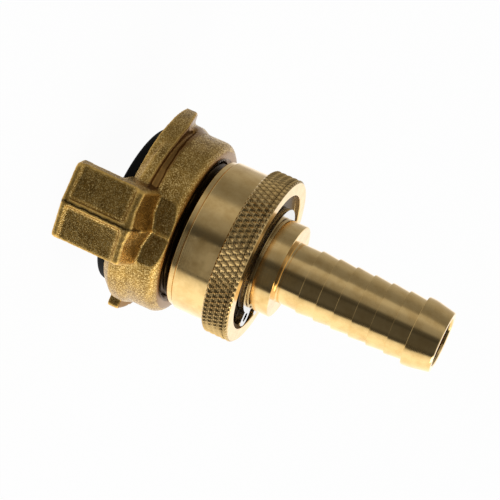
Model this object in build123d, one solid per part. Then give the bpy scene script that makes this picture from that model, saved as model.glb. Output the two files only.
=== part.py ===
from build123d import *
import math
import os

# Claw coupling for a 13 mm hose: a forged brass head with two claws swivels on a turned hose
# tail, and a knurled ring screwed into the head drives the tail and its seal forward.
# The axis is Z, the claw tips stand on z = 0 and the hose end points up. Millimetres.

# Coupling interface of the head
claw_spacing = 40.0  # across the two hook noses
nose_clearance = 0.2  # between the hook nose and the flange of the mating half
ear_rise = 2.65  # how far an ear stands out of the flange
ear_clearance = 0.4  # between an ear and the wall of the claw that closes over it
claw_wall = 2.95
claw_width = 15.6
claw_length = 14.8  # tip to rear edge, along the outside
claw_draft = 11.0  # lean of the claw's rear face, degrees
claw_roof = 10.5  # fall of the two outer faces from the parting line, degrees
hook_thickness = 2.2
throat = 7.0  # hook to flange, along the axis
panel_depth = 0.8
panel_rim = 1.1
rib_width = 1.8
forging_round = 0.7

# Body of the head
head_length = 12.1  # front of the flange to rear rim
flange_lip = 18.0  # radius of the flange at its front edge
flange_taper = 2.0
lip_round = 0.4
ear_thickness = 2.45  # at the entry end of the ramp
ramp_rise = 1.65  # growth of that thickness over the ramp's lead-in
lead_in = 22.0  # length of the lead-in, degrees
ramp_start = 31.0  # from the claw's centre line to where the ear leaves the flange, degrees
ramp_end = 96.0  # from the claw's centre line to the entry end of the ramp, degrees
ear_round = 1.0
body_radius = 19.0
body_slope = 1.5  # length of the slope behind the flange
rear_round = 2.2
across_flats = 35.4
groove_depth = 0.4  # machined track of the mating hook, behind the ramp
groove_width = 0.4  # at the entry end of the ramp
groove_growth = 1.4  # growth of that width up to the claw

# Thread between head and lock ring (M30 x 1.5, shown as plain cylinders)
thread_radius = 15.0
thread_clearance = 0.1
thread_entry = 0.9

# Seal
seal_radius = 17.0
seal_clearance = 0.4
seal_height = 4.75
seal_opening = 7.6
seal_round = 0.8
seal_stand = 2.3  # how far the seal stands out of the head's flange

# Lock ring
ring_gap = 1.25  # rear rim of the head to the front of the ring
neck_length = 7.3
band_radius = 15.9
band_width = 1.1
line_width = 0.3
line_depth = 0.35
sleeve_radius = 16.3
sleeve_length = 8.85  # front of the ring to the knurled collar
knurl_radius = 18.0
knurl_width = 5.9
knurl_chamfer = 0.45
knurl_count = 90  # grooves of each hand, all round
knurl_rows = 4  # steps from peak to groove crossing along the band
knurl_depth = 0.42
recess_radius = 14.85
recess_depth = 1.2

# Hose tail
bore_radius = 5.05
collar_radius = 10.0
swivel_clearance = 0.08  # collar in the lock ring, radial
collar_overhang = 4.9  # collar past the rear of the ring
flange_clearance = 0.6  # flange of the hose tail to the thread in the head
nose_radius = 10.2
nose_neck = 9.0
nose_lip = 1.1
nose_neck_length = 1.2
seal_fit = 0.05  # seal on the nose, all round
washer_thickness = 0.5
washer_play = 0.05
stem_radius = 6.55
stem_length = 4.8
tooth_crest = 6.9
tooth_root = 6.5
tooth_pitch = 3.9
tooth_count = 6
end_crest = 7.35
end_length = 6.0
end_radius = 6.45
edge_break = 0.25
root_fillet = 0.4

# Retaining ring (external circlip for a 20 mm shaft)
clip_thickness = 1.2
clip_play = 0.35  # clip to the recess floor
clip_groove_depth = 0.5
clip_groove_width = 1.6
clip_fit = 0.05
clip_width_back = 2.35
clip_width_ends = 1.6
lug_reach = 14.1
lug_width = 4.4
lug_round = 0.4  # corner radius as a share of the lug's smaller side
lug_hole = 2.0
lug_hole_radius = 12.1
lug_spread = 19.5  # each lug from the middle of the gap, degrees
clip_azimuth = 10.9

# Stations along the axis
flange_front = hook_thickness + throat
flange_rear = flange_front + ear_thickness + ramp_rise
head_rear = flange_front + head_length
seal_front = flange_front - seal_stand
tail_flange_front = seal_front + seal_height
ring_front = head_rear + ring_gap
neck_front = ring_front - neck_length
washer_front = neck_front - washer_play - washer_thickness
tail_flange_rear = washer_front - washer_play
knurl_front = ring_front + sleeve_length
ring_rear = knurl_front + knurl_width
recess_floor = ring_rear - recess_depth
clip_front = recess_floor + clip_play
collar_rear = ring_rear + collar_overhang
first_tooth = collar_rear + stem_length
end_tooth = first_tooth + tooth_count * tooth_pitch
tail_end = end_tooth + end_length

# Radii that follow
hook_radius = claw_spacing / 2
flange_outer = hook_radius - nose_clearance
ear_radius = flange_outer + ear_rise
claw_inner = ear_radius + ear_clearance
claw_outer = claw_inner + claw_wall
seal_bore = seal_radius + seal_clearance
seal_bore_floor = tail_flange_front + 2.0
neck_radius = thread_radius - thread_clearance
flange_radius = thread_radius - flange_clearance
ring_bore = collar_radius + swivel_clearance
clip_groove_radius = collar_radius - clip_groove_depth


standing = (Align.CENTER, Align.CENTER, Align.MIN)


def turned(*points):
    """Solid of revolution about Z from (radius, height) corners."""
    outline = make_face(Polyline(*points, close=True))
    return revolve(Plane.XZ * outline, Axis.Z)


def cylinder(radius, low, high):
    return Pos(0, 0, low) * extrude(Circle(radius), high - low)


def tube(inner, outer, low, high):
    return cylinder(outer, low, high) - cylinder(inner, low, high)


def both(solid):
    """The solid and its copy half a turn round the axis."""
    return solid + Rot(0, 0, 180) * solid


def on_circle(radius, degrees):
    return (radius * math.cos(math.radians(degrees)), radius * math.sin(math.radians(degrees)))


def panel_cutter():
    """Sunk panel of one outer face of the claw, open towards the claw's side."""
    lean = math.radians(claw_roof)
    along = (math.cos(lean), math.sin(lean), 0)
    face = Plane(origin=(0, -claw_outer, 0), x_dir=(0, 0, 1), z_dir=along)
    over = panel_depth
    outline = Polyline(
        (panel_rim - over, over),
        (panel_rim + panel_depth, -panel_depth),
        (claw_length - panel_rim - panel_depth, -panel_depth),
        (claw_length - panel_rim + over, over),
        close=True,
    )
    return extrude(face * Pos(0, 0, rib_width / 2) * make_face(outline), claw_width)


def claw():
    """The claw that points along -Y."""
    half = claw_width / 2
    root = seal_bore - 1
    drop = half * math.tan(math.radians(claw_roof))
    lean = math.tan(math.radians(claw_draft))
    root_top = claw_length + (claw_outer - root) * lean
    outline = Polyline(
        (-half, -root), (-half, drop - claw_outer), (0, -claw_outer),
        (half, drop - claw_outer), (half, -root), close=True,
    )
    block = extrude(make_face(outline), root_top)
    side = Polyline(
        (-root, 0), (-claw_outer - 1, 0), (-claw_outer - 1, claw_length - lean),
        (-root, root_top), close=True,
    )
    block &= extrude(Plane.YZ * make_face(side), half + 1, both=True)
    outer = [e for e in block.edges() if e.center().Y < drop / 2 - claw_outer + 0.01 or
             (abs(abs(e.center().X) - half) < 0.01 and e.center().Y < -root - 0.01)]
    block = fillet([e for e in outer if abs(e.center().X) > 0.01 or e.center().Z < 0.01],
                   forging_round)
    panel = panel_cutter()
    block -= panel
    block -= mirror(panel, about=Plane.YZ)
    block -= cylinder(hook_radius, -1, flange_front)
    return block - cylinder(claw_inner, hook_thickness, flange_front)


def behind_slope(height, rise, length):
    """Space behind a plane at this height at the ear's entry end, which rises towards the claw."""
    low = Vector(*on_circle(ear_radius, -90 - ramp_end), height)
    high = Vector(*on_circle(ear_radius, -90 - ramp_end + length), height + rise)
    across = Vector(*on_circle(1, -90 - ramp_end + length / 2), 0)
    plane = Plane(origin=low, x_dir=across, z_dir=across.cross(high - low))
    return plane * Box(4 * ear_radius, 4 * ear_radius, head_length, align=standing)


def sector(inner, outer, end_outer, start_angle, end_angle):
    """Outline between two arcs about Z; the outer one runs from one radius to another."""
    middle_angle = (start_angle + end_angle) / 2
    outer_arc = ThreePointArc(
        on_circle(outer, start_angle), on_circle((outer + end_outer) / 2, middle_angle),
        on_circle(end_outer, end_angle),
    )
    inner_arc = ThreePointArc(
        on_circle(inner, end_angle), on_circle(inner, middle_angle), on_circle(inner, start_angle),
    )
    return make_face([
        outer_arc, Line(outer_arc @ 1, inner_arc @ 0), inner_arc, Line(inner_arc @ 1, outer_arc @ 0),
    ])


def ear():
    """Ramp that grows out of the flange beside the claw on -Y, round to its entry end."""
    inner = (seal_bore + flange_lip) / 2
    outline = sector(inner, flange_lip, ear_radius, -90 - ramp_start, -90 - ramp_end)
    slab = Pos(0, 0, flange_front) * extrude(outline, ear_thickness + ramp_rise)
    tip = slab.edges().filter_by(Axis.Z).sort_by_distance((0, 0, 0))[-1]
    slab = fillet(tip, ear_round)
    return slab - behind_slope(flange_front + ear_thickness, ramp_rise, lead_in)


def hook_track():
    """Machined groove behind the ramp, from the claw on -Y to the ramp's entry end."""
    band = sector(body_radius - groove_depth, claw_outer, claw_outer, -90, -90 - ramp_end)
    band = Pos(0, 0, flange_rear) * extrude(band, head_length)
    return band - behind_slope(flange_rear + groove_width, groove_growth, ramp_end - ramp_start)


def claw_head():
    body = turned(
        (0, flange_front),
        (flange_lip, flange_front),
        (flange_outer, flange_front + flange_taper),
        (flange_outer, flange_rear),
        (body_radius, flange_rear + body_slope),
        (body_radius, head_rear),
        (0, head_rear),
    )
    body = fillet([e for e in body.edges() if abs(e.center().Z - head_rear) < 0.01], rear_round)
    body = fillet([e for e in body.edges() if abs(e.center().Z - flange_front) < 0.01], lip_round)
    flat = Box(3 * body_radius, body_radius, head_length, align=(Align.CENTER, Align.MIN, Align.MIN))
    body -= both(Pos(0, across_flats / 2, flange_rear) * flat)
    body += both(ear())
    body -= both(hook_track())
    body += both(claw())
    body -= cylinder(seal_bore, -1, seal_bore_floor)
    bore = turned(
        (0, 0), (thread_radius, 0), (thread_radius, head_rear - thread_entry),
        (thread_radius + thread_entry, head_rear), (thread_radius + thread_entry, head_rear + 1),
        (0, head_rear + 1),
    )
    return body - bore


def seal_ring():
    body = turned(
        (seal_opening, seal_front),
        (seal_radius, seal_front),
        (seal_radius, tail_flange_front),
        (seal_opening, tail_flange_front),
    )
    rim = [e for e in body.edges() if abs(e.center().Z - seal_front) < 0.01]
    body = fillet(rim, seal_round)
    lip_rear = tail_flange_front - nose_neck_length
    lip_front = lip_rear - nose_lip
    body -= cylinder(nose_neck + seal_fit, lip_rear, tail_flange_front)
    return body - cylinder(nose_radius + seal_fit, lip_front - seal_fit, lip_rear + seal_fit)


def tooth_outline():
    """Barb from the collar to the hose end, as (radius, height) corners."""
    points = [(stem_radius, collar_rear), (stem_radius, first_tooth)]
    for index in range(tooth_count):
        low = first_tooth + index * tooth_pitch
        points += [(tooth_crest, low), (tooth_root, low + tooth_pitch)]
    points += [(end_crest, end_tooth), (end_crest, end_tooth + end_length / 4)]
    points += [(end_radius, tail_end - edge_break), (end_radius - edge_break, tail_end)]
    return points


def hose_tail():
    lip_rear = tail_flange_front - nose_neck_length
    lip_front = lip_rear - nose_lip
    groove_low = clip_front - (clip_groove_width - clip_thickness) / 2
    groove_high = groove_low + clip_groove_width
    body = turned(
        (bore_radius, lip_front),
        (nose_radius, lip_front),
        (nose_radius, lip_rear),
        (nose_neck, lip_rear),
        (nose_neck, tail_flange_front),
        (flange_radius, tail_flange_front),
        (flange_radius, tail_flange_rear),
        (collar_radius, tail_flange_rear),
        (collar_radius, groove_low),
        (clip_groove_radius, groove_low),
        (clip_groove_radius, groove_high),
        (collar_radius, groove_high),
        (collar_radius, collar_rear - edge_break),
        (collar_radius - edge_break, collar_rear),
        *tooth_outline(),
        (bore_radius + edge_break, tail_end),
        (bore_radius, tail_end - edge_break),
    )
    root = [e for e in body.edges() if abs(e.center().Z - collar_rear) < 0.01
            and abs(e.radius - stem_radius) < 0.01]
    return fillet(root, root_fillet)


def slip_washer():
    washer_rear = washer_front + washer_thickness
    return tube(ring_bore, flange_radius, washer_front, washer_rear)


def knurl_point(column, row):
    """Peak or groove crossing of the knurl; they alternate round the band and along it."""
    radius = knurl_radius - knurl_depth * ((column + row) % 2)
    step = (knurl_width - 2 * knurl_chamfer) / knurl_rows
    height = knurl_front + knurl_chamfer + row * step
    return Vector(*on_circle(radius, 180 * column / knurl_count), height)


def rim_point(column, height):
    return Vector(*on_circle(knurl_radius - knurl_chamfer, 180 * column / knurl_count), height)


def knurl_band():
    """Diamond knurl of four-sided pyramids with chamfered rims, solid to the axis."""
    outlines = []
    for column in range(2 * knurl_count):
        for row in range(knurl_rows):
            square = [knurl_point(column + a, row + b) for a, b in ((0, 0), (1, 0), (1, 1), (0, 1))]
            turn = (column + row) % 2  # each square is split along its groove
            a, b, c, d = square[turn:] + square[:turn]
            outlines += [(a, b, d), (b, c, d)]
    for row, height in ((0, knurl_front), (knurl_rows, ring_rear)):
        crossings = [2 * index + (row + 1) % 2 for index in range(knurl_count)]
        for column in crossings:
            crossing, peak, next_crossing = (knurl_point(column + step, row) for step in range(3))
            rim, next_rim = (rim_point(column + step, height) for step in (0, 2))
            outlines += [(rim, crossing, peak), (rim, peak, next_rim), (next_rim, peak, next_crossing)]
        outlines.append([rim_point(column, height) for column in crossings])
    return Solid(Shell([Face(Wire.make_polygon(points, close=True)) for points in outlines]))


def lock_ring():
    line_low = ring_front + band_width
    line_high = line_low + line_width
    inside_band = knurl_front + knurl_chamfer
    blank = turned(
        (0, neck_front),
        (neck_radius - thread_entry, neck_front),
        (neck_radius, neck_front + thread_entry),
        (neck_radius, ring_front),
        (band_radius - edge_break, ring_front),
        (band_radius, ring_front + edge_break),
        (band_radius, line_low),
        (band_radius - line_depth, line_low),
        (band_radius - line_depth, line_high),
        (sleeve_radius, line_high),
        (sleeve_radius, inside_band),
        (0, inside_band),
    )
    hollow = turned(
        (0, neck_front - 1),
        (ring_bore, neck_front - 1),
        (ring_bore, recess_floor),
        (recess_radius, recess_floor),
        (recess_radius, ring_rear - edge_break),
        (recess_radius + edge_break, ring_rear),
        (recess_radius + edge_break, ring_rear + 1),
        (0, ring_rear + 1),
    )
    return blank + knurl_band() - hollow


def circlip():
    inner = clip_groove_radius + clip_fit
    shift = (clip_width_back - clip_width_ends) / 2
    outer = inner + clip_width_ends + shift
    plate = Pos(-shift, 0) * Circle(outer)
    lug_length = 2 * (lug_reach - lug_hole_radius)
    lug = RectangleRounded(lug_length, lug_width, lug_round * min(lug_width, lug_length))
    for side in (-1, 1):
        plate += Rot(0, 0, side * lug_spread) * Pos(lug_hole_radius, 0) * lug
    plate -= Circle(inner)
    gap = 2 * (lug_hole_radius * math.sin(math.radians(lug_spread)) - lug_width / 2)
    plate -= Pos(lug_hole_radius, 0) * Rectangle(2 * lug_reach - lug_hole_radius, gap)
    for side in (-1, 1):
        plate -= Pos(*on_circle(lug_hole_radius, side * lug_spread)) * Circle(lug_hole / 2)
    return Rot(0, 0, clip_azimuth) * Pos(0, 0, clip_front) * extrude(plate, clip_thickness)


pieces = {
    "claw_head": claw_head,
    "seal_ring": seal_ring,
    "hose_tail": hose_tail,
    "slip_washer": slip_washer,
    "lock_ring": lock_ring,
    "circlip": circlip,
}

os.makedirs("parts", exist_ok=True)
for name, make in pieces.items():
    solid = make()
    solid.label = name
    export_step(solid, f"parts/{name}.step")
    print(name, len(solid.solids()), "solid", round(solid.volume), "mm3")
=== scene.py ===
import bpy
import bmesh
import math
from mathutils import Matrix, Vector, noise


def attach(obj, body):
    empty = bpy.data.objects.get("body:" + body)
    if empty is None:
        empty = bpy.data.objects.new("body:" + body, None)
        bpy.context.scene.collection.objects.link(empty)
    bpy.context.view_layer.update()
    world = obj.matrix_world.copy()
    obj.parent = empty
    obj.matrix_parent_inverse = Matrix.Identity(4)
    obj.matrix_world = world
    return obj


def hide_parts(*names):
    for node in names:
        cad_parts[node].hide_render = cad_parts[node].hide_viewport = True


# Quarter-turn claw coupling: forged brass head, knurled lock ring, ribbed hose tail
# Sizes in the dictionaries are millimetres and degrees, meshes are metres
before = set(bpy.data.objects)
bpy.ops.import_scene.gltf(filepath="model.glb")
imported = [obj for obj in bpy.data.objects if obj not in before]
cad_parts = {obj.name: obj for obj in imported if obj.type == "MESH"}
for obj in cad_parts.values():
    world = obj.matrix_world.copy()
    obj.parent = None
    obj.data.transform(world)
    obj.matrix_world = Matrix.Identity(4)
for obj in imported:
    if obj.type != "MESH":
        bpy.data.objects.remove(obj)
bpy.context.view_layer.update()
scene = bpy.context.scene
mm = 0.001
weld = 0.002 * mm  # points of a solid's mesh that are closer than this are one


def linear(hexColour):
    # sRGB hex to the linear values that the shaders want
    channels = [int(hexColour[i:i + 2], 16) / 255 for i in (1, 3, 5)]
    return [c / 12.92 if c <= 0.04045 else ((c + 0.055) / 1.055) ** 2.4 for c in channels] + [1.0]


def addNode(tree, kind, settings=None, inputs=None):
    node = tree.nodes.new(kind)
    for key, value in (settings or {}).items():
        setattr(node, key, value)
    for key, value in (inputs or {}).items():
        socket = node.inputs[key]
        if isinstance(value, bpy.types.NodeSocket):
            tree.links.new(value, socket)
        else:
            socket.default_value = value
    return node


def newObject(name, mesh):
    piece = bpy.data.objects.new(name, mesh)
    scene.collection.objects.link(piece)
    return piece


def asPlainMesh(piece):
    # bakes the modifiers into the mesh and takes them off
    graph = bpy.context.evaluated_depsgraph_get()
    mesh = bpy.data.meshes.new_from_object(piece.evaluated_get(graph))
    piece.modifiers.clear()
    piece.data = mesh
    return piece


def mergedCopy(node, name):
    piece = newObject(name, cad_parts[node].data.copy())
    mesh = bmesh.new()
    mesh.from_mesh(piece.data)
    bmesh.ops.remove_doubles(mesh, verts=mesh.verts, dist=weld)
    mesh.to_mesh(piece.data)
    mesh.free()
    return piece


def dress(piece, material):
    piece.data.materials.clear()
    piece.data.materials.append(material)


view = {
    "elevation": 12.3,  # above the plane across the coupling's axis
    "azimuth": -102.3,
    "roll": 24.6,
    "distance": 327,
    "aimHeight": 32.9,
    "aimShift": 0.83,
    "lens": 115.2,
    "sensor": 36,
}


def addCamera():
    elevation, azimuth, roll = (math.radians(view[k]) for k in ("elevation", "azimuth", "roll"))
    back = Vector((
        math.cos(elevation) * math.cos(azimuth),
        math.cos(elevation) * math.sin(azimuth),
        math.sin(elevation),
    ))
    axisUp = (Vector((0, 0, 1)) - back.z * back).normalized()
    side = back.cross(axisUp)
    right = axisUp * math.cos(roll) + side * math.sin(roll)
    up = side * math.cos(roll) - axisUp * math.sin(roll)
    aim = Vector((0, 0, view["aimHeight"] * mm)) + side * view["aimShift"] * mm
    camera = newObject("camera", bpy.data.cameras.new("camera"))
    turn = Matrix((right, up, back)).transposed().to_4x4()
    camera.matrix_world = Matrix.Translation(aim + back * view["distance"] * mm) @ turn
    camera.data.sensor_width = view["sensor"]
    camera.data.lens = view["lens"]
    scene.camera = camera


# Grey cards stand round the coupling, and turned brass shows them as long stripes.
# Each stop: direction as seen from the camera's side, in degrees, and how bright it is there
studio = {
    "cards": [
        (-180, 1.25), (-158, 1.1), (-148, 0.6), (-128, 0.45), (-111, 0.39), (-89, 0.25),
        (-70, 0.22), (-60, 0.25), (-52, 0.5), (-40, 0.5), (-28, 0.34), (-12, 0.26), (-4, 0.08),
        (6, 0.05), (14, 0.08), (46, 0.09), (60, 0.05), (65, 0.12), (69, 0.85), (80, 1.15),
        (96, 1.3), (150, 1.35), (180, 1.25),
    ],
    "tableShare": 0.35, "tableStart": -0.33, "tableFull": -0.6,
    "skyShare": 0.6, "skyStart": 0.6, "skyFull": 0.95,
    "stripRadius": 100, "stripFrom": 8, "stripTo": 56, "stripLow": 3.5, "stripHigh": 16,
    "stripGlow": 0.32, "stripSteps": 16,
    "floorSize": 30000,
    "floorColour": "#f4f4f2",
    "floorGlow": 0.96,
    "lampPower": 0.5,
    "lampSize": 240,
    "lampPlace": (520, -160, 420),
}


def addWorld():
    world = bpy.data.worlds.new("studio")
    scene.world = world
    world.use_nodes = True
    tree = world.node_tree
    tree.nodes.clear()
    direction = addNode(tree, "ShaderNodeTexCoord").outputs["Generated"]
    turned = addNode(tree, "ShaderNodeMapping", inputs={
        "Vector": direction,
        "Rotation": (0, 0, math.radians(-view["azimuth"])),
    })
    around = addNode(tree, "ShaderNodeTexGradient", {"gradient_type": "RADIAL"}, {
        "Vector": turned.outputs["Vector"],
    })
    cards = addNode(tree, "ShaderNodeValToRGB", inputs={"Fac": around.outputs["Fac"]})
    ramp = cards.color_ramp
    for index, (degrees, level) in enumerate(studio["cards"]):
        place = degrees / 360 + 0.5
        stop = ramp.elements[index] if index < 2 else ramp.elements.new(place)
        stop.position = place
        stop.color = (level, level, level, 1)
    height = addNode(tree, "ShaderNodeSeparateXYZ", inputs={"Vector": direction})
    colour = cards.outputs["Color"]
    for part in ("table", "sky"):  # both are white, below and overhead
        share = addNode(tree, "ShaderNodeMapRange", {"interpolation_type": "SMOOTHSTEP"}, {
            "Value": height.outputs["Z"],
            "From Min": studio[part + "Start"],
            "From Max": studio[part + "Full"],
            "To Max": studio[part + "Share"],
        })
        colour = addNode(tree, "ShaderNodeMix", {"data_type": "RGBA"}, {
            0: share.outputs["Result"],
            6: colour,
            7: (1, 1, 1, 1),
        }).outputs[2]
    background = addNode(tree, "ShaderNodeBackground", inputs={"Color": colour})
    addNode(tree, "ShaderNodeOutputWorld", inputs={"Surface": background.outputs["Background"]})


def addStrip():
    # a low grey strip beside the lens, which only the lock ring's sleeve shows
    corners = []
    for step in range(studio["stripSteps"] + 1):
        share = step / studio["stripSteps"]
        turn = studio["stripFrom"] + share * (studio["stripTo"] - studio["stripFrom"])
        angle = math.radians(view["azimuth"] + turn)
        x, y = (studio["stripRadius"] * mm * part for part in (math.cos(angle), math.sin(angle)))
        corners += [(x, y, studio["stripLow"] * mm), (x, y, studio["stripHigh"] * mm)]
    faces = [(2 * i, 2 * i + 2, 2 * i + 3, 2 * i + 1) for i in range(studio["stripSteps"])]
    mesh = bpy.data.meshes.new("strip")
    mesh.from_pydata(corners, [], faces)
    strip = newObject("greyStrip", mesh)
    card = bpy.data.materials.new("greyCard")
    card.use_nodes = True
    card.node_tree.nodes.clear()
    glow = addNode(card.node_tree, "ShaderNodeEmission", inputs={"Strength": studio["stripGlow"]})
    addNode(card.node_tree, "ShaderNodeOutputMaterial", inputs={"Surface": glow.outputs[0]})
    dress(strip, card)
    strip.visible_camera = strip.visible_diffuse = strip.visible_shadow = False


def addStudio():
    addWorld()
    addStrip()
    size = studio["floorSize"] * mm
    mesh = bpy.data.meshes.new("floor")
    corners = [(-size, -size, 0), (size, -size, 0), (size, size, 0), (-size, size, 0)]
    mesh.from_pydata(corners, [], [(0, 1, 2, 3)])
    floor = newObject("floor", mesh)
    floor.visible_glossy = False  # the metal shows the cards instead
    paper = bpy.data.materials.new("whitePaper")
    paper.use_nodes = True
    tree = paper.node_tree
    tree.nodes.clear()
    diffuse = addNode(tree, "ShaderNodeBsdfDiffuse", inputs={
        "Color": linear(studio["floorColour"]),
    })
    glow = addNode(tree, "ShaderNodeEmission")
    rays = addNode(tree, "ShaderNodeLightPath")
    seen = addNode(tree, "ShaderNodeMath", {"operation": "MULTIPLY"}, {
        0: rays.outputs["Is Camera Ray"],
        1: studio["floorGlow"],
    })
    mixed = addNode(tree, "ShaderNodeMixShader", inputs={
        0: seen.outputs["Value"],
        1: diffuse.outputs["BSDF"],
        2: glow.outputs["Emission"],
    })
    addNode(tree, "ShaderNodeOutputMaterial", inputs={"Surface": mixed.outputs["Shader"]})
    dress(floor, paper)
    lamp = bpy.data.lights.new("softbox", "AREA")
    lamp.energy = studio["lampPower"]
    lamp.size = studio["lampSize"] * mm
    softbox = newObject("softbox", lamp)
    softbox.location = Vector(studio["lampPlace"]) * mm
    aim = Vector((0, 0, view["aimHeight"] * mm)) - softbox.location
    softbox.rotation_euler = aim.to_track_quat("-Z", "Y").to_euler()
    scene.view_settings.view_transform = "Standard"


def finish(name, metallic=1.0):
    material = bpy.data.materials.new(name)
    material.use_nodes = True
    tree = material.node_tree
    shader = tree.nodes["Principled BSDF"]
    shader.inputs["Metallic"].default_value = metallic
    return material, tree, shader


def perMillimetre(tree, stretch=(1, 1, 1)):
    # object coordinates in millimetres, stretched along an axis where asked
    place = addNode(tree, "ShaderNodeTexCoord").outputs["Object"]
    scaled = addNode(tree, "ShaderNodeMapping", inputs={
        "Vector": place,
        "Scale": [s / mm for s in stretch],
    })
    return scaled.outputs["Vector"]


forging = {
    "skin": "#b28b43",
    "skinDark": "#7c5b24",
    "bare": "#f2cf86",
    # convex edges and the raised flash: partly rubbed bright by wear, partly a painted highlight
    "wornAndHighlit": "#f0c46c",
    # cut faces really are machined, but their dark colour is painted shade
    "machinedAndShaded": "#8f6a38",
    "flashLine": "#2b1e0e",
    "grain": 0.26,
    "blotch": 3.0,
    "blotchRange": (0.35, 0.7),
    "peakRange": (0.5, 0.62),
    "glossRange": (0.4, 0.7),
    "bumpDepth": 0.07,
    "valleyRoughness": 0.36, "peakRoughness": 0.22,
    "wornAndHighlitRoughness": 0.48,
    "machinedRoughness": 0.3,
    "wornAndHighlitSmoothing": 0.35,  # share of the dimples that wear takes off
}


def forgedBrass():
    # hot forged and shot blasted: a dimpled oxide skin, with bare brass glinting on the peaks
    f = forging
    material, tree, shader = finish("shotBlastedForgedBrass")
    place = perMillimetre(tree)
    dimples, blotches = (
        addNode(tree, "ShaderNodeTexNoise", inputs={
            "Vector": place, "Scale": 1 / f[size], "Detail": detail, "Roughness": 0.6,
        }).outputs["Fac"]
        for size, detail in (("grain", 3.0), ("blotch", 4.0))
    )
    aged, peaks = (
        addNode(tree, "ShaderNodeMapRange", inputs={
            "Value": value, "From Min": f[between][0], "From Max": f[between][1],
        }).outputs["Result"]
        for value, between in ((blotches, "blotchRange"), (dimples, "peakRange"))
    )
    wornAndHighlit, machinedAndShaded, flash = (
        addNode(tree, "ShaderNodeAttribute", {"attribute_name": name}).outputs["Fac"]
        for name in ("wornAndHighlit", "machinedAndShaded", "flashLine")
    )
    # the worn layer lightens convex edges: partly real wear, partly a painted highlight
    layers = (
        (aged, "skinDark"), (peaks, "bare"), (wornAndHighlit, "wornAndHighlit"), (machinedAndShaded, "machinedAndShaded"),
        (flash, "flashLine"),
    )
    colour = linear(f["skin"])
    # the machined layer's dark colour is painted shade
    for share, layer in layers:  # each one covers those before it
        colour = addNode(tree, "ShaderNodeMix", {"data_type": "RGBA"}, {
            0: share, 6: colour, 7: linear(f[layer]),
        }).outputs[2]
    tree.links.new(colour, shader.inputs["Base Color"])
    rough = addNode(tree, "ShaderNodeMapRange", inputs={
        "Value": dimples, "From Min": f["glossRange"][0], "From Max": f["glossRange"][1],
        "To Min": f["valleyRoughness"], "To Max": f["peakRoughness"],
    }).outputs["Result"]
    for share, layer in ((wornAndHighlit, "wornAndHighlitRoughness"), (machinedAndShaded, "machinedRoughness")):
        rough = addNode(tree, "ShaderNodeMix", inputs={0: share, 2: rough, 3: f[layer]}).outputs[0]
    tree.links.new(rough, shader.inputs["Roughness"])
    rubbed = addNode(tree, "ShaderNodeMath", {"operation": "MULTIPLY"}, {
        0: wornAndHighlit, 1: f["wornAndHighlitSmoothing"],
    })
    rubbed = addNode(tree, "ShaderNodeMath", {"operation": "MAXIMUM"}, {
        0: rubbed.outputs[0], 1: machinedAndShaded,
    })
    left = addNode(tree, "ShaderNodeMath", {"operation": "SUBTRACT"}, {
        0: 1.0, 1: rubbed.outputs[0],
    })
    bump = addNode(tree, "ShaderNodeBump", inputs={
        "Height": dimples, "Strength": left.outputs[0], "Distance": f["bumpDepth"] * mm,
    })
    tree.links.new(bump.outputs["Normal"], shader.inputs["Normal"])
    return material


turning = {
    "bright": "#f0cd8c",
    "dull": "#dab472",
    # the colour that the knurl's grooves darken towards, more with depth
    "grooveDark": "#6a5129",
    "feed": 0.16,  # real feed marks are finer; this is as coarse as still shows
    "markDepth": 0.006,
    "hazePerMm": 0.35,
    "hazeRange": (0.4, 0.75),
    "glossRange": (0.3, 0.7),
    "glossier": 0.04, "duller": 0.06,  # how far haze moves the roughness either way
}


def turnedBrass(name, roughness):
    # turned on a lathe: bright, with fine rings round the axis and a little handling haze
    t = turning
    material, tree, shader = finish(name)
    place = perMillimetre(tree)
    split = addNode(tree, "ShaderNodeSeparateXYZ", inputs={0: place}).outputs
    flat = addNode(tree, "ShaderNodeCombineXYZ", inputs={"X": split["X"], "Y": split["Y"]})
    radius = addNode(tree, "ShaderNodeVectorMath", {"operation": "LENGTH"}, {0: flat.outputs[0]})
    section = addNode(tree, "ShaderNodeCombineXYZ", inputs={
        "X": radius.outputs["Value"], "Y": split["Z"],
    })
    rings = addNode(tree, "ShaderNodeTexNoise", inputs={
        "Vector": section.outputs[0], "Scale": 1 / t["feed"], "Detail": 2.0, "Roughness": 0.7,
    })
    haze = addNode(tree, "ShaderNodeTexNoise", inputs={
        "Vector": place, "Scale": t["hazePerMm"], "Detail": 3.0, "Roughness": 0.6,
    }).outputs["Fac"]
    hazy = addNode(tree, "ShaderNodeMapRange", inputs={
        "Value": haze, "From Min": t["hazeRange"][0], "From Max": t["hazeRange"][1],
    }).outputs["Result"]
    grooveDarkening = addNode(tree, "ShaderNodeAttribute", {"attribute_name": "grooveDarkening"}).outputs["Fac"]
    colour = linear(t["bright"])
    for share, layer in ((hazy, "dull"), (grooveDarkening, "grooveDark")):
        colour = addNode(tree, "ShaderNodeMix", {"data_type": "RGBA"}, {
            0: share, 6: colour, 7: linear(t[layer]),
        }).outputs[2]
    tree.links.new(colour, shader.inputs["Base Color"])
    gloss = addNode(tree, "ShaderNodeMapRange", inputs={
        "Value": haze, "From Min": t["glossRange"][0], "From Max": t["glossRange"][1],
        "To Min": roughness - t["glossier"], "To Max": roughness + t["duller"],
    })
    tree.links.new(gloss.outputs["Result"], shader.inputs["Roughness"])
    bump = addNode(tree, "ShaderNodeBump", inputs={
        "Height": rings.outputs["Fac"], "Strength": 1.0, "Distance": t["markDepth"] * mm,
    })
    tree.links.new(bump.outputs["Normal"], shader.inputs["Normal"])
    return material


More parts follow.
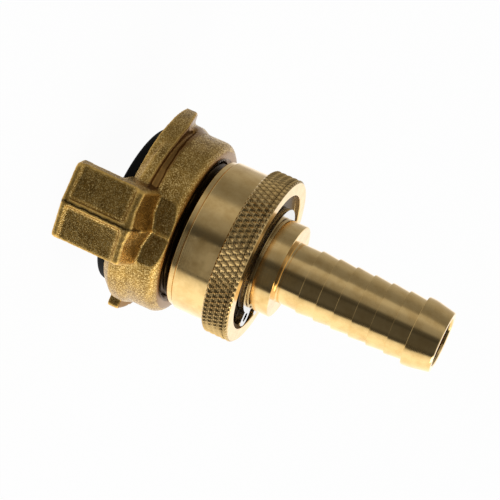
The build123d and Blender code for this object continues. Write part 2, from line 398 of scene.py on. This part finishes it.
# dark brass colours that paint the shade in the gap behind the head and in the recess
shadeBrass = {"colours": ("#2e2110", "#5f4724"), "perMm": 1.2, "detail": 3.0, "roughness": 0.45}
rubber = {
    "colours": ("#040404", "#0c0b0b"), "perMm": 2.0, "detail": 4.0, "roughness": 0.7,
    "specular": 0.15,
    "bump": 0.5, "bumpDepth": 0.02,
}
steel = {
    "colours": ("#a9a9a8", "#dededc"), "perMm": 1.5, "detail": 3.0,
    "scratched": (1, 6, 1),  # finer along Y, so the scratches run along X
    "scratchRange": (0.3, 0.7),
    "glossRange": (0.08, 0.2),
}
acetal = {
    "colours": ("#e9e7df", "#f4f2ea"), "perMm": 0.8, "detail": 2.0, "grain": 0.5, "roughness": 0.4,
}


def mottle(name, look, metallic):
    # two colours in a soft pattern, which goes back to the caller for more
    material, tree, shader = finish(name, metallic)
    pattern = addNode(tree, "ShaderNodeTexNoise", inputs={
        "Vector": perMillimetre(tree, look.get("scratched", (1, 1, 1))),
        "Scale": look["perMm"], "Detail": look["detail"], "Roughness": look.get("grain", 0.6),
    }).outputs["Fac"]
    first, second = map(linear, look["colours"])
    colour = addNode(tree, "ShaderNodeMix", {"data_type": "RGBA"}, {
        0: pattern, 6: first, 7: second,
    })
    tree.links.new(colour.outputs[2], shader.inputs["Base Color"])
    if "roughness" in look:
        shader.inputs["Roughness"].default_value = look["roughness"]
    return material, tree, shader, pattern


def shadedThreadBrass():
    # dark brass as painted shade, for the ring's front end with its thread and for the recess floor
    return mottle("shadedDarkBrass", shadeBrass, 1.0)[0]


def sealRubber():
    # moulded nitrile rubber: matt black with a faint skin
    material, tree, shader, bloom = mottle("mouldedNitrileRubber", rubber, 0.0)
    shader.inputs["Specular IOR Level"].default_value = rubber["specular"]
    bump = addNode(tree, "ShaderNodeBump", inputs={
        "Height": bloom, "Strength": rubber["bump"], "Distance": rubber["bumpDepth"] * mm,
    })
    tree.links.new(bump.outputs["Normal"], shader.inputs["Normal"])
    return material


def springSteel():
    # stamped spring steel, barrelled bright: pale, with soft scratches
    material, tree, shader, scratches = mottle("barrelledSpringSteel", steel, 1.0)
    (low, high), (glossy, dull) = steel["scratchRange"], steel["glossRange"]
    gloss = addNode(tree, "ShaderNodeMapRange", inputs={
        "Value": scratches, "From Min": low, "From Max": high, "To Min": glossy, "To Max": dull,
    })
    tree.links.new(gloss.outputs["Result"], shader.inputs["Roughness"])
    return material


def naturalAcetal():
    # turned from acetal rod: milky white, waxy
    return mottle("naturalAcetal", acetal, 0.0)[0]


head = {
    "voxel": 0.3,
    "smoothing": 3, "softness": 0.5,
    "wornAndHighlitFrom": 0.025, "wornAndHighlitTo": 0.12, "wearAndHighlightPasses": 2,  # how far an edge stands out
    "boreRadius": 17.6, "flangeFront": 9.1, "flangeRadius": 19.6,
    "clawFrom": 17, "clawAside": 10, "clawTop": 16, "clawFade": 2, "clawInner": 22.95,
    "sideOuter": 24.35, "sideInner": 21.5, "sideHalf": 7.8, "sideLean": 0.17,
    "noseTop": 4, "noseChamfer": 0.55,
    "gussetReach": 3.5, "gussetLength": 1.1, "gussetMiddle": 15.8, "gussetHalf": 2.5,
    "rampStart": 31, "rampEnd": 96, "leadIn": 22,  # degrees round the axis from the claw's middle
    "earRadius": 22.45, "earRear": 13.3, "earRise": 1.65, "earRound": 1.1,
    "earPast": 3,  # degrees past the ramp's end that still belong to the ear
    "trackLow": 13.05, "trackHigh": 15.15, "trackRadius": 22.6, "trackAside": 7.6,
    "ledgeAside": 7.9, "ledgeFacing": 0.8,
    "pitDepth": 0.05, "pitSize": 0.45, "waveDepth": 0.08, "waveSize": 5.0,
    "sink": 0.5,  # pits and waves go inwards more than out
    "flashHeight": 0.4, "flashWidth": 0.24, "flashStart": 15.5, "flashFacing": 0.75,
    "flashWander": 0.25, "wanderPerMm": 1.3, "wanderSeed": 7.3,
    "flashEven": 0.7, "flashRagged": 0.9, "raggedPerMm": 2.2, "raggedSeed": 3.1,
}


def beyondClaw(place):
    # degrees round the axis from the middle of the last claw
    return (-90 - math.degrees(math.atan2(place[1], place[0]))) % 180


def machinedShare(place, normal):
    # 1 where a cutter has been: the bores, the inside of the claws and the hook's track
    x, y, z = place
    radius = math.hypot(x, y)
    if radius < head["boreRadius"]:
        return 1.0
    if abs(y) > head["clawFrom"] and radius < head["clawInner"] and z < head["flangeFront"]:
        return 1.0
    onTrack = beyondClaw(place) < head["rampEnd"] and radius < head["trackRadius"]
    if onTrack and head["trackLow"] < z < head["trackHigh"] and abs(x) > head["trackAside"]:
        return 1.0
    onLedge = normal.z > head["ledgeFacing"] and radius > head["flangeRadius"]
    if onLedge and z < head["trackHigh"] and abs(x) > head["ledgeAside"]:
        return 1.0
    return 0.0


def clawSpread(place):
    # the claw's sides lean outwards towards the axis, and the nose of the hook has cut corners
    x, y, z = place
    reach = abs(y)
    if reach < head["clawFrom"] or z > head["clawTop"] or abs(x) > head["clawAside"]:
        return 0.0
    inward = min(max(head["sideOuter"] - reach, 0), head["sideOuter"] - head["sideInner"])
    spreadBy = head["sideLean"] * inward
    if reach < head["sideInner"] and z < head["noseTop"]:
        spreadBy -= head["noseChamfer"] * (head["sideInner"] - reach)
    fadeAside = (head["clawAside"] - abs(x)) / (head["clawAside"] - head["sideHalf"])
    fadeTop = (head["clawTop"] - z) / head["clawFade"]
    fade = min(1.0, fadeAside) * min(1.0, fadeTop)
    return spreadBy * min(1.0, abs(x) / head["sideHalf"]) * fade * math.copysign(1, x)


def earCorner(place):
    # the outer rear edge of each ear is well rounded, down to its thin entry end
    x, y, z = place
    radius = math.hypot(x, y)
    turned = beyondClaw(place)
    if not head["rampStart"] < turned < head["rampEnd"] + head["earPast"]:
        return Vector((0, 0, 0))
    fall = min(max((turned - head["rampEnd"]) / head["leadIn"] + 1, 0), 1)
    reach = head["earRound"]
    out = radius - head["earRadius"] + reach
    back = z - head["earRear"] + head["earRise"] * fall + reach
    far = math.hypot(out, back)
    if out < 0 or back < 0 or far < reach:
        return Vector((0, 0, 0))
    pull = reach / far - 1
    return Vector((x / radius * out * pull, y / radius * out * pull, back * pull))


def gusset(place):
    # the root of the claw runs out along the parting line
    x, y, z = place
    if abs(y) < head["clawFrom"] or abs(x) > head["gussetReach"]:
        return 0.0
    nearRoot = max(0.0, 1 - abs(z - head["gussetMiddle"]) / head["gussetHalf"])
    return head["gussetLength"] * (1 - abs(x) / head["gussetReach"]) * nearRoot


def edgeWearAndHighlight(mesh):
    # how far each point stands out of its neighbours' plane: edges that tumbling has rubbed bright,
    # made lighter still as a painted highlight
    here = [v.co / mm for v in mesh.vertices]
    bend = [0.0] * len(here)
    count = [0] * len(here)
    for edge in mesh.edges:
        first, second = edge.vertices
        along = here[second] - here[first]
        length = along.length or 1.0
        bend[first] -= mesh.vertices[first].normal.dot(along) / length
        bend[second] += mesh.vertices[second].normal.dot(along) / length
        count[first] += 1
        count[second] += 1
    bend = [b / c for b, c in zip(bend, count)]
    for _ in range(head["wearAndHighlightPasses"]):
        total = list(bend)
        for edge in mesh.edges:
            first, second = edge.vertices
            total[first] += bend[second]
            total[second] += bend[first]
        bend = [t / (c + 1) for t, c in zip(total, count)]
    low, high = head["wornAndHighlitFrom"], head["wornAndHighlitTo"]
    return [min(max((b - low) / (high - low), 0.0), 1.0) for b in bend]


def forgeHead():
    piece = mergedCopy("claw_head", "headForging")
    remesh = piece.modifiers.new("remesh", "REMESH")
    remesh.mode = "VOXEL"
    remesh.voxel_size = head["voxel"] * mm
    soften = piece.modifiers.new("soften", "SMOOTH")
    soften.factor = head["softness"]
    soften.iterations = head["smoothing"]
    asPlainMesh(piece)
    mesh = piece.data
    wearAndHighlight = edgeWearAndHighlight(mesh)
    normals = [v.normal.copy() for v in mesh.vertices]
    shares, lines = [], []
    for index, (vertex, normal) in enumerate(zip(mesh.vertices, normals)):
        place = vertex.co / mm
        share = machinedShare(place, normal)
        pits = noise.noise(place / head["pitSize"]) - head["sink"]
        waves = noise.noise(place / head["waveSize"]) - head["sink"]
        lift = (head["pitDepth"] * pits + head["waveDepth"] * waves) * (1 - share)
        # the two dies meet in a wandering line: dark down the claw, a raised flash behind it
        along = Vector((0, head["wanderSeed"], place.z * head["wanderPerMm"]))
        wander = head["flashWander"] * noise.noise(along)
        line = 0.0
        if abs(normal.x) < head["flashFacing"] and abs(place.y) > head["clawFrom"] and share == 0:
            line = math.exp(-((place.x - wander) / head["flashWidth"]) ** 2)
            if place.z > head["flashStart"]:
                along = Vector((head["raggedSeed"], 0, place.z * head["raggedPerMm"]))
                ragged = head["flashEven"] + head["flashRagged"] * noise.noise(along)
                lift += head["flashHeight"] * line * ragged
                # the ridge of the flash takes the worn colour: a painted highlight along it
                wearAndHighlight[index] = max(wearAndHighlight[index], line)
                line = 0.0
        lines.append(line)
        shares.append(share)
        vertex.co += normal * lift * mm
        vertex.co.x += clawSpread(place) * mm
        vertex.co.z += gusset(place) * mm
        vertex.co += earCorner(place) * mm
    for name, values in (("machinedAndShaded", shares), ("flashLine", lines), ("wornAndHighlit", wearAndHighlight)):
        mesh.attributes.new(name, "FLOAT", "POINT").data.foreach_set("value", values)
    for polygon in mesh.polygons:
        polygon.use_smooth = True
    dress(piece, forgedBrass())
    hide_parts("claw_head")
    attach(piece, "head")
    print("head:", len(mesh.polygons), "faces")


profile = {
    "cornerShare": 0.45,  # most that a rounding takes of the line beside it
    "longLine": 0.5,
    "support": 0.04,  # from the end of a long line to the point that holds its shading
    "merge": 0.001,
}


def rounded(corners, closed=True):
    # corners are (radius, height, rounding); a rounded corner becomes three points
    points = []
    count = len(corners)
    for index, (radius, height, rounding) in enumerate(corners):
        here = Vector((radius, height))
        if rounding == 0:
            points.append(here)
            continue
        before = Vector(corners[index - 1][:2]) - here
        after = Vector(corners[(index + 1) % count][:2]) - here
        start = here + before.normalized() * min(rounding, before.length * profile["cornerShare"])
        end = here + after.normalized() * min(rounding, after.length * profile["cornerShare"])
        points += [start, (start + end + 2 * here) / 4, end]
    # two more points close to the ends of each long line keep its shading straight
    kept = []
    for index, here in enumerate(points):
        if index == len(points) - 1 and not closed:
            return kept + [here]
        after = points[(index + 1) % len(points)]
        along = after - here
        kept.append(here)
        if along.length > profile["longLine"]:
            step = along.normalized() * profile["support"]
            kept += [here + step, after - step]
    return kept


def lathe(points, segments, closed=True):
    # surface of revolution; corners run so that its faces point outwards
    mesh = bmesh.new()
    rings = []
    for step in range(segments):
        angle = -math.pi + 2 * math.pi * step / segments
        alongX, alongY = mm * math.cos(angle), mm * math.sin(angle)
        rings.append([mesh.verts.new((p[0] * alongX, p[0] * alongY, p[1] * mm)) for p in points])
    last = len(points) if closed else len(points) - 1
    for step in range(segments):
        here, after = rings[step], rings[(step + 1) % segments]
        for index in range(last):
            upper = (index + 1) % len(points)
            mesh.faces.new((here[index], after[index], after[upper], here[upper]))
    return mesh


def finishLathe(name, mesh, sharp=30):
    data = bpy.data.meshes.new(name)
    bmesh.ops.remove_doubles(mesh, verts=mesh.verts, dist=profile["merge"] * mm)
    bmesh.ops.recalc_face_normals(mesh, faces=mesh.faces)
    for face in mesh.faces:
        face.smooth = True
    for edge in mesh.edges:
        if len(edge.link_faces) == 2 and edge.calc_face_angle() > math.radians(sharp):
            edge.smooth = False
    mesh.to_mesh(data)
    mesh.free()
    return newObject(name, data)


tail = {
    "bore": 5.05,
    "noseRadius": 10.2, "noseNeck": 9.0, "noseFront": 9.35, "noseRear": 10.45,
    "flangeRadius": 14.4, "flangeFront": 11.65, "flangeRear": 14.65,
    "collarRadius": 10.0, "collarRear": 42.2, "collarEdge": 0.3,
    "grooveRadius": 9.5, "grooveLow": 36.25, "grooveHigh": 37.85, "grooveEdge": 0.05,
    "stemRadius": 6.55, "stemFillet": 0.4, "firstTooth": 47.0,
    "toothCount": 6, "toothPitch": 3.9, "toothCrest": 6.9, "toothRoot": 6.5,
    "toothEdge": 0.2, "toothFoot": 0.05,
    "endTooth": 70.4, "endCrest": 7.35, "endFlat": 1.5, "endRadius": 6.45, "end": 76.4,
    "endEdge": 0.18, "endShoulder": 0.8, "tipEdge": 0.35, "boreEdge": 0.5,
    "edge": 0.1,  # all other edges
    "segments": 256,
    "roughness": 0.11,
}


def hoseTail():
    t = tail
    corners = [
        (t["bore"], t["noseFront"], t["edge"]), (t["noseRadius"], t["noseFront"], t["edge"]),
        (t["noseRadius"], t["noseRear"], t["edge"]), (t["noseNeck"], t["noseRear"], 0),
        (t["noseNeck"], t["flangeFront"], 0), (t["flangeRadius"], t["flangeFront"], t["edge"]),
        (t["flangeRadius"], t["flangeRear"], t["edge"]), (t["collarRadius"], t["flangeRear"], 0),
        (t["collarRadius"], t["grooveLow"], t["grooveEdge"]),
        (t["grooveRadius"], t["grooveLow"], 0), (t["grooveRadius"], t["grooveHigh"], 0),
        (t["collarRadius"], t["grooveHigh"], t["grooveEdge"]),
        (t["collarRadius"], t["collarRear"], t["collarEdge"]),
        (t["stemRadius"], t["collarRear"], t["stemFillet"]), (t["stemRadius"], t["firstTooth"], 0),
    ]
    for index in range(t["toothCount"]):
        low = t["firstTooth"] + index * t["toothPitch"]
        corners += [
            (t["toothCrest"], low, t["toothEdge"]),
            (t["toothRoot"], low + t["toothPitch"], t["toothFoot"]),
        ]
    corners += [
        (t["endCrest"], t["endTooth"], t["endEdge"]),
        (t["endCrest"], t["endTooth"] + t["endFlat"], t["endShoulder"]),
        (t["endRadius"], t["end"], t["tipEdge"]), (t["bore"], t["end"], t["boreEdge"]),
    ]
    piece = finishLathe("hoseTailTurned", lathe(rounded(corners), t["segments"]))
    dress(piece, turnedBrass("turnedBrass", t["roughness"]))
    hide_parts("hose_tail")
    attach(piece, "tail")
    print("hose tail:", len(piece.data.polygons), "faces")


ring = {
    "bore": 10.08, "boreEdge": 0.1,
    "neckFront": 15.25, "neckEntry": 0.9, "neckEdge": 0.2, "front": 22.55,
    "threadCrest": 14.9, "threadDepth": 0.8, "threadPitch": 1.5, "threadRows": 48,
    "threadStop": 0.1, "threadFade": 3.0,  # the ridge runs out over 1 / threadFade
    "bandRadius": 15.9, "bandWidth": 1.1, "bandEdge": 0.2, "lineDepth": 0.35, "lineWidth": 0.3,
    "lineEdge": 0.06,
    "sleeveRadius": 16.3, "sleeveEdge": 0.1,
    "knurlFront": 31.4, "knurlRadius": 18.0, "rear": 37.3, "chamfer": 0.45,
    "recessRadius": 14.85, "recessFloor": 36.1, "recessEdge": 0.2, "floorEdge": 0.15,
    "grooves": 90, "diamondLength": 2.5, "knurlDepth": 0.42, "knurlFlat": 0.08, "knurlRows": 47,
    "samples": 6,  # points across one groove
    "grooveDarkness": 0.6, "grooveDarkFrom": 17.3,
    "shadedFloor": 0.02,  # height that still counts as the recess floor
    "sharp": 24,
    "roughness": 0.14,
}

# Sums that turn a flat grid into the knurl or the thread: result, operation and terms.
# A capital letter marks an input of the tree
gridSteps = [
    ("half", "MULTIPLY", "Width", 0.5),
    ("off", "ABSOLUTE", "along"),
    ("fromEdge", "SUBTRACT", "half", "off"),
]
knurlSteps = [  # two families of V grooves cross, and both edges are chamfered
    ("shear", "MULTIPLY", "along", "Shear"),
    ("count", "MULTIPLY", "turn", "Grooves"),
    ("right", "ADD", "count", "shear"),
    ("right", "PINGPONG", "right", 0.5),
    ("left", "SUBTRACT", "count", "shear"),
    ("left", "PINGPONG", "left", 0.5),
    ("groove", "MAXIMUM", "right", "left"),
    ("groove", "MULTIPLY", "groove", 2.0),
    ("groove", "MAXIMUM", "groove", "Flat"),
    ("groove", "MULTIPLY", "groove", "Depth"),
    ("knurled", "SUBTRACT", "Radius", "groove"),
    ("rim", "MINIMUM", "fromEdge", "Chamfer"),
    ("rim", "ADD", "Radius", "rim"),
    ("rim", "SUBTRACT", "rim", "Chamfer"),
    ("radius", "MINIMUM", "knurled", "rim"),
]
threadSteps = [  # one helical ridge that dies out at both ends
    ("phase", "DIVIDE", "along", "Pitch"),
    ("phase", "SUBTRACT", "phase", "turn"),
    ("ridge", "PINGPONG", "phase", 0.5),
    ("ridge", "MULTIPLY", "ridge", 2.0),
    ("fade", "MULTIPLY", "fromEdge", "Fade"),
    ("fade", "MINIMUM", "fade", 1.0),
    ("ridge", "MULTIPLY", "ridge", "fade"),
    ("ridge", "MULTIPLY", "ridge", "Depth"),
    ("radius", "ADD", "Radius", "ridge"),
]
bendSteps = [
    ("angle", "MULTIPLY", "turn", 2 * math.pi),
    ("x", "COSINE", "angle"),
    ("x", "MULTIPLY", "x", "radius"),
    ("y", "SINE", "angle"),
    ("y", "MULTIPLY", "y", "radius"),
    ("z", "ADD", "along", "Low"),
    ("z", "ADD", "z", "half"),
]


def wrappedGrid(name, segments, rows, steps, material, values):
    # a grid one turn long, bent round the axis at the radius that the steps work out
    tree = bpy.data.node_groups.new(name, "GeometryNodeTree")
    tree.interface.new_socket("Geometry", in_out="OUTPUT", socket_type="NodeSocketGeometry")
    sockets = {
        key: tree.interface.new_socket(key, in_out="INPUT", socket_type="NodeSocketFloat")
        for key in values
    }
    painting = tree.interface.new_socket("Finish", in_out="INPUT", socket_type="NodeSocketMaterial")
    given = addNode(tree, "NodeGroupInput").outputs
    grid = addNode(tree, "GeometryNodeMeshGrid", inputs={
        "Size X": 1.0, "Size Y": given["Width"],
        "Vertices X": segments + 1, "Vertices Y": rows + 1,
    })
    place = addNode(tree, "GeometryNodeInputPosition")
    split = addNode(tree, "ShaderNodeSeparateXYZ", inputs={0: place.outputs[0]}).outputs
    found = {key: given[key] for key in values} | {"turn": split["X"], "along": split["Y"]}
    for result, operation, *terms in gridSteps + steps + bendSteps:
        found[result] = addNode(tree, "ShaderNodeMath", {"operation": operation}, {
            index: found.get(term, term) for index, term in enumerate(terms)
        }).outputs[0]
    bent = addNode(tree, "ShaderNodeCombineXYZ", inputs={
        "X": found["x"], "Y": found["y"], "Z": found["z"],
    })
    scaled = addNode(tree, "ShaderNodeVectorMath", {"operation": "SCALE"}, {
        "Vector": bent.outputs[0], "Scale": mm,
    })
    moved = addNode(tree, "GeometryNodeSetPosition", inputs={
        "Geometry": grid.outputs["Mesh"], "Position": scaled.outputs[0],
    })
    real = addNode(tree, "GeometryNodeRealizeInstances", inputs={"Geometry": moved.outputs[0]})
    painted = addNode(tree, "GeometryNodeSetMaterial", inputs={
        "Geometry": real.outputs[0], "Material": given["Finish"],
    })
    addNode(tree, "NodeGroupOutput", inputs={0: painted.outputs[0]})
    piece = newObject(name, bpy.data.meshes.new(name))
    modifier = piece.modifiers.new(name, "NODES")
    modifier.node_group = tree
    for key, value in values.items():
        modifier[sockets[key].identifier] = float(value)
    modifier[painting.identifier] = material
    return asPlainMesh(piece)


def knurlGrooveDarkening(place):
    # darker the deeper a point lies in the knurl's grooves, and not at all on the peaks
    x, y, z = place
    radius = math.hypot(x, y)
    inBand = ring["knurlFront"] < z < ring["rear"] - profile["merge"]
    if radius < ring["grooveDarkFrom"] or not inBand:
        return 0.0
    return ring["grooveDarkness"] * min(1.0, (ring["knurlRadius"] - radius) / ring["knurlDepth"])


def lockRing():
    r = ring
    segments = r["grooves"] * r["samples"]
    root = r["threadCrest"] - r["threadDepth"]
    threadLow, threadHigh = r["neckFront"] + r["neckEntry"], r["front"] - r["threadStop"]
    lineRadius = r["bandRadius"] - r["lineDepth"]
    lineLow = r["front"] + r["bandWidth"]
    lineHigh = lineLow + r["lineWidth"]
    rim = r["knurlRadius"] - r["chamfer"]
    inside = [
        (rim, r["rear"], 0), (r["recessRadius"], r["rear"], r["recessEdge"]),
        (r["recessRadius"], r["recessFloor"], r["floorEdge"]),
        (r["bore"], r["recessFloor"], r["boreEdge"]), (r["bore"], r["neckFront"], r["boreEdge"]),
        (root, r["neckFront"], r["neckEdge"]), (root, threadLow, 0),
    ]
    sleeve = [
        (root, threadHigh, 0), (root, r["front"], 0), (r["bandRadius"], r["front"], r["bandEdge"]),
        (r["bandRadius"], lineLow, r["lineEdge"]), (lineRadius, lineLow, 0),
        (lineRadius, lineHigh, 0), (r["sleeveRadius"], lineHigh, r["sleeveEdge"]),
        (r["sleeveRadius"], r["knurlFront"], 0), (rim, r["knurlFront"], 0),
    ]
    satin, shadedDark = turnedBrass("satinTurnedBrass", r["roughness"]), shadedThreadBrass()
    knurl = wrappedGrid("knurl", segments, r["knurlRows"], knurlSteps, satin, {
        "Low": r["knurlFront"], "Width": r["rear"] - r["knurlFront"], "Radius": r["knurlRadius"],
        "Depth": r["knurlDepth"], "Flat": r["knurlFlat"], "Chamfer": r["chamfer"],
        "Grooves": r["grooves"], "Shear": 1 / r["diamondLength"],
    })
    thread = wrappedGrid("thread", segments, r["threadRows"], threadSteps, shadedDark, {
        "Low": threadLow, "Width": threadHigh - threadLow, "Radius": root,
        "Depth": r["threadDepth"], "Pitch": r["threadPitch"], "Fade": r["threadFade"],
    })
    mesh = bmesh.new()
    for part in (inside, sleeve):
        strip = lathe(rounded(part, closed=False), segments, closed=False)
        held = bpy.data.meshes.new("strip")
        strip.to_mesh(held)
        strip.free()
        mesh.from_mesh(held)
        bpy.data.meshes.remove(held)
    for part in (knurl, thread):
        mesh.from_mesh(part.data)
        bpy.data.objects.remove(part)
    piece = finishLathe("lockRingKnurled", mesh, r["sharp"])
    grooveDarkening = piece.data.attributes.new("grooveDarkening", "FLOAT", "POINT")
    grooveDarkening.data.foreach_set("value", [knurlGrooveDarkening(v.co / mm) for v in piece.data.vertices])
    dress(piece, satin)
    piece.data.materials.append(shadedDark)
    for polygon in piece.data.polygons:
        height = polygon.center.z / mm
        onFloor = abs(height - r["recessFloor"]) < r["shadedFloor"]
        # the front end with the thread and the recess floor take the dark brass: painted shade
        polygon.material_index = 1 if onFloor or height < r["front"] else 0
    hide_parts("lock_ring")
    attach(piece, "ring")
    print("lock ring:", len(piece.data.polygons), "faces")


addCamera()
addStudio()
print("studio ready")
forgeHead()
hoseTail()
lockRing()
dress(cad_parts["seal_ring"], sealRubber())
dress(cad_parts["circlip"], springSteel())
dress(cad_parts["slip_washer"], naturalAcetal())
print("seal, circlip and washer dressed")
